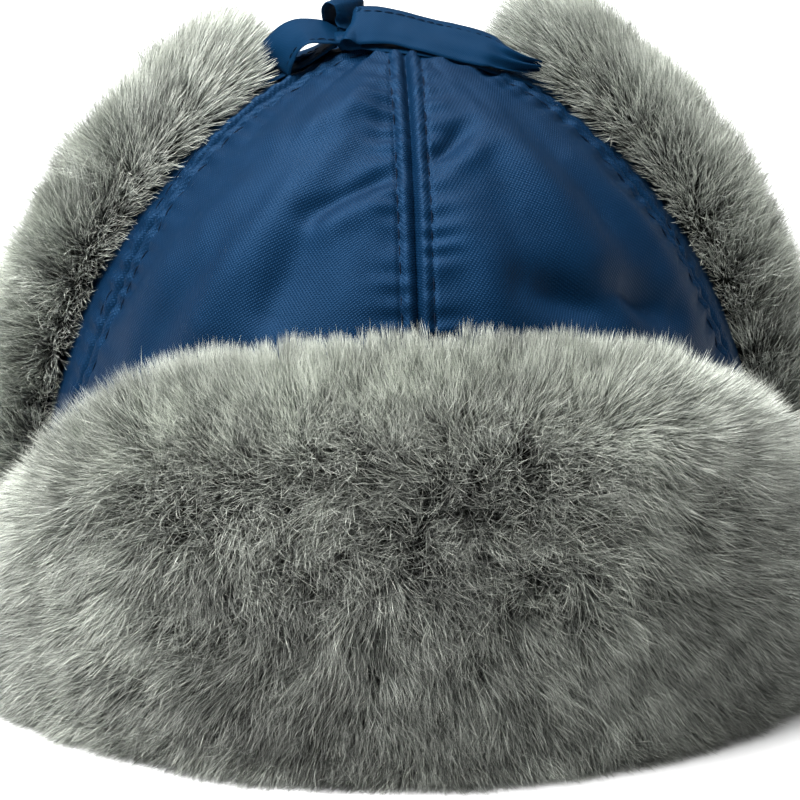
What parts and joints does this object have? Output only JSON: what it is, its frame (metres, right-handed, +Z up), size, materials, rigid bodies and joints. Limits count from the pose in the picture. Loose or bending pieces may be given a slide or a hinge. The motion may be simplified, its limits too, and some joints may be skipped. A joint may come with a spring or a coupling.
{
  "type": "trapper hat",
  "caption": "Padded navy nylon trapper hat with a fur visor, raised fur ear flaps tied over the gored crown, and a fur neck flap.",
  "frame": {"origin": "on the ground under the middle of the crown, in the plane of the rim", "axes": "+Z up through the apex, -Y towards the visor, +X to the right of a viewer who faces the visor"},
  "size_m": [0.24, 0.25, 0.1692],
  "materials": {
    "nylon": "navy nylon twill with a satin sheen",
    "tie": "navy nylon ribbon, topstitched",
    "binding": "navy bias binding",
    "fur": "grey faux fur, long pile with pale tips",
    "wadding": "white polyester wadding",
    "lining": "quilted satin lining",
    "sweatband": "ribbed cotton band",
    "stiffener": "pale buckram sheet",
    "tab": "plain woven tab, blank"
  },
  "bodies": {
    "crown": {"crown_wadding_front_left": "wadding", "crown_wadding_front_right": "wadding", "crown_wadding_side_right": "wadding", "crown_wadding_back_right": "wadding", "crown_wadding_back_left": "wadding", "crown_wadding_side_left": "wadding", "crown_panel_front_left": "nylon", "crown_panel_front_right": "nylon", "crown_panel_side_right": "nylon", "crown_panel_back_right": "nylon", "crown_panel_back_left": "nylon", "crown_panel_side_left": "nylon", "lining_panel_front_left": "lining", "lining_panel_front_right": "lining", "lining_panel_side_right": "lining", "lining_panel_back_right": "lining", "lining_panel_back_left": "lining", "lining_panel_side_left": "lining", "rim_binding": "binding", "sweatband": "sweatband", "size_tab": "tab"},
    "visor": {"visor_shell": "nylon", "visor_stiffener": "stiffener", "visor_fur": "fur"},
    "ear_flap_left": {"ear_flap_left_shell": "nylon", "ear_flap_left_wadding": "wadding", "ear_flap_left_fur": "fur", "ear_tie_left": "tie"},
    "ear_flap_right": {"ear_flap_right_shell": "nylon", "ear_flap_right_wadding": "wadding", "ear_flap_right_fur": "fur", "ear_tie_right": "tie"},
    "neck_flap": {"neck_flap_shell": "nylon", "neck_flap_wadding": "wadding", "neck_flap_fur": "fur"}
  },
  "joints": [
    {"name": "visor_fold", "type": "hinge", "parent": "crown", "child": "visor", "pos_m": [0, -0.085, 0], "axis": [1, 0, 0], "range_deg": [0, 150]},
    {"name": "ear_flap_left_fold", "type": "hinge", "parent": "crown", "child": "ear_flap_left", "pos_m": [-0.096, 0.023, 0], "axis": [0, -1, 0], "range_deg": [0, 175]},
    {"name": "ear_flap_right_fold", "type": "hinge", "parent": "crown", "child": "ear_flap_right", "pos_m": [0.096, 0.023, 0], "axis": [0, 1, 0], "range_deg": [0, 175]},
    {"name": "neck_flap_fold", "type": "hinge", "parent": "crown", "child": "neck_flap", "pos_m": [0, 0.088, 0], "axis": [-1, 0, 0], "range_deg": [0, 170]}
  ]
}
